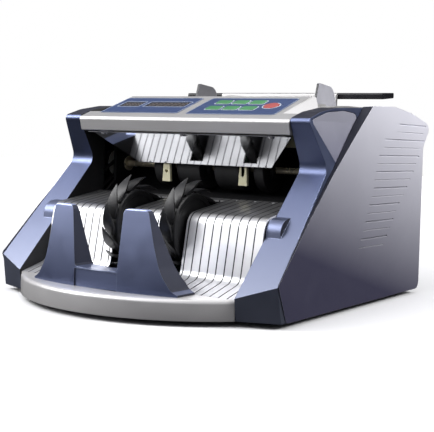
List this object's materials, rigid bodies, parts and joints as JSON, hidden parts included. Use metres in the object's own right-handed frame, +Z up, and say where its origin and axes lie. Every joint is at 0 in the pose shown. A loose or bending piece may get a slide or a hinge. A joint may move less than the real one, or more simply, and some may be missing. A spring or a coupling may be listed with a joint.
{
  "type": "banknote counting machine",
  "caption": "Desktop friction-feed banknote counter: open front stacker with finger wheels, sloped key panel, rear-top hopper with sliding guides.",
  "frame": {"origin": "middle of the footprint's bounding box, on the plane the rubber feet stand on", "axes": "+X to the machine's right-hand side seen from the front, +Y from the front stacker to the rear cover, +Z up"},
  "size_m": [0.291, 0.3546, 0.1977],
  "materials": {
    "blue_shell": "metallic blue-grey, satin",
    "lilac_shell": "metallic lilac-silver, satin",
    "silver_shell": "metallic silver, satin",
    "white_sheet": "white coated sheet with engraved lines",
    "mirror_steel": "polished",
    "cream_plastic": "matte",
    "blue_overlay": "printed film, satin",
    "dark_window": "smoked, polished",
    "black_plastic": "gloss",
    "circuit_board": "solder mask",
    "green_key": "satin, white edge",
    "red_key": "satin, white edge",
    "guide_plastic": "satin",
    "bright_steel": "brushed",
    "brass": "turned",
    "wheel_rubber": "semi gloss",
    "roller_rubber": "matte",
    "retard_rubber": "matte",
    "pulley_plastic": "matte",
    "grey_metal": "painted"
  },
  "bodies": {
    "housing": {"base_tray": "black_plastic", "left_arm": "blue_shell", "right_arm": "blue_shell", "left_side_cover": "lilac_shell", "right_side_cover": "lilac_shell", "rear_cover": "blue_shell", "top_deck": "silver_shell", "front_bumper": "silver_shell", "stacker_plate": "white_sheet", "stacker_stop": "blue_shell", "deflector_plate": "mirror_steel", "paper_guide": "cream_plastic", "panel_bezel": "silver_shell", "display_overlay": "blue_overlay", "keypad_overlay": "blue_overlay", "display_windows": "dark_window", "display_modules": "black_plastic", "panel_board": "circuit_board", "hopper_tray": "black_plastic", "side_frames": "bright_steel", "note_chute": "black_plastic", "cross_rods": "bright_steel", "pinch_shaft": "bright_steel", "main_motor": "grey_metal", "drive_belts": "roller_rubber", "shaft_bushes": "brass", "main_board": "circuit_board", "transformer": "grey_metal", "power_inlet": "black_plastic", "sensor_boards": "circuit_board", "rubber_feet": "roller_rubber", "housing_screws": "bright_steel"},
    "stacker_rotor": {"stacker_shaft": "bright_steel", "left_stacker_wheel": "wheel_rubber", "right_stacker_wheel": "wheel_rubber", "stacker_pulley": "pulley_plastic"},
    "transport_rotor": {"transport_shaft": "brass", "transport_rollers": "roller_rubber", "transport_pulleys": "pulley_plastic"},
    "feed_rotor": {"feed_shaft": "bright_steel", "feed_rollers": "roller_rubber", "feed_pulleys": "pulley_plastic"},
    "pickup_rotor": {"pickup_shaft": "bright_steel", "pickup_rollers": "roller_rubber", "pickup_pulley": "pulley_plastic"},
    "pinch_rotor": {"pinch_rollers": "grey_metal"},
    "motor_rotor": {"motor_shaft": "bright_steel"},
    "gap_carriage": {"retard_carriage": "grey_metal", "retard_roller": "retard_rubber"},
    "gap_knob": {"gap_screw": "brass"},
    "rocker": {"power_switch": "black_plastic"},
    "key_1": {"key_top_left": "green_key"},
    "key_2": {"key_top_mid": "green_key"},
    "key_3": {"key_top_right": "green_key"},
    "key_4": {"key_low_left": "green_key"},
    "key_5": {"key_low_mid": "green_key"},
    "key_6": {"key_low_right": "green_key"},
    "key_reset": {"reset_key": "red_key"},
    "guide_left": {"left_guide": "guide_plastic"},
    "guide_right": {"right_guide": "guide_plastic"}
  },
  "joints": [
    {"name": "transport_spin", "type": "hinge", "parent": "housing", "child": "transport_rotor", "pos_m": [0, 0.0148, 0.116], "axis": [1, 0, 0], "continuous": true},
    {"name": "stacker_spin", "type": "hinge", "parent": "housing", "child": "stacker_rotor", "pos_m": [0, -0.0712, 0.066], "axis": [1, 0, 0], "continuous": true},
    {"name": "feed_spin", "type": "hinge", "parent": "housing", "child": "feed_rotor", "pos_m": [0, 0.0548, 0.154], "axis": [1, 0, 0], "continuous": true},
    {"name": "pickup_spin", "type": "hinge", "parent": "housing", "child": "pickup_rotor", "pos_m": [0, 0.0878, 0.154], "axis": [1, 0, 0], "continuous": true},
    {"name": "pinch_spin", "type": "hinge", "parent": "housing", "child": "pinch_rotor", "pos_m": [0, 0.0051, 0.1427], "axis": [1, 0, 0], "continuous": true},
    {"name": "motor_spin", "type": "hinge", "parent": "housing", "child": "motor_rotor", "pos_m": [0, 0.0888, 0.082], "axis": [1, 0, 0], "continuous": true},
    {"name": "gap_screw_turn", "type": "hinge", "parent": "housing", "child": "gap_knob", "pos_m": [0, 0.0228, 0.177], "axis": [0, 0, 1], "range_deg": [-360, 360]},
    {"name": "gap_carriage_slide", "type": "slide", "parent": "housing", "child": "gap_carriage", "axis": [0, 0, 1], "range_m": [-0.00079, 0.00079]},
    {"name": "power_rocker", "type": "hinge", "parent": "housing", "child": "rocker", "pos_m": [-0.047, 0.1488, 0.041], "axis": [1, 0, 0], "range_deg": [-20, 0]},
    {"name": "press_key_1", "type": "slide", "parent": "housing", "child": "key_1", "axis": [0, 0.3387, -0.9409], "range_m": [0, 0.0005], "stiffness_N_per_m": 1200, "springref_m": -0.0002},
    {"name": "press_key_2", "type": "slide", "parent": "housing", "child": "key_2", "axis": [0, 0.3387, -0.9409], "range_m": [0, 0.0005], "stiffness_N_per_m": 1200, "springref_m": -0.0002},
    {"name": "press_key_3", "type": "slide", "parent": "housing", "child": "key_3", "axis": [0, 0.3387, -0.9409], "range_m": [0, 0.0005], "stiffness_N_per_m": 1200, "springref_m": -0.0002},
    {"name": "press_key_4", "type": "slide", "parent": "housing", "child": "key_4", "axis": [0, 0.3387, -0.9409], "range_m": [0, 0.0005], "stiffness_N_per_m": 1200, "springref_m": -0.0002},
    {"name": "press_key_5", "type": "slide", "parent": "housing", "child": "key_5", "axis": [0, 0.3387, -0.9409], "range_m": [0, 0.0005], "stiffness_N_per_m": 1200, "springref_m": -0.0002},
    {"name": "press_key_6", "type": "slide", "parent": "housing", "child": "key_6", "axis": [0, 0.3387, -0.9409], "range_m": [0, 0.0005], "stiffness_N_per_m": 1200, "springref_m": -0.0002},
    {"name": "press_reset", "type": "slide", "parent": "housing", "child": "key_reset", "axis": [0, 0.3387, -0.9409], "range_m": [0, 0.0005], "stiffness_N_per_m": 1200, "springref_m": -0.0002},
    {"name": "guide_left_slide", "type": "slide", "parent": "housing", "child": "guide_left", "axis": [-1, 0, 0], "range_m": [-0.006, 0.023]},
    {"name": "guide_right_slide", "type": "slide", "parent": "housing", "child": "guide_right", "axis": [1, 0, 0], "range_m": [-0.006, 0.023]}
  ],
  "couplings": [
    {"joint": "stacker_spin", "follows": "transport_spin", "ratio": 0.71429},
    {"joint": "motor_spin", "follows": "transport_spin", "ratio": 1.7143},
    {"joint": "feed_spin", "follows": "transport_spin", "ratio": 0.72727},
    {"joint": "pickup_spin", "follows": "transport_spin", "ratio": 0.72727},
    {"joint": "pinch_spin", "follows": "transport_spin", "ratio": -2.5},
    {"joint": "gap_screw_turn", "follows": "gap_carriage_slide", "rad_per_m": -7854}
  ]
}
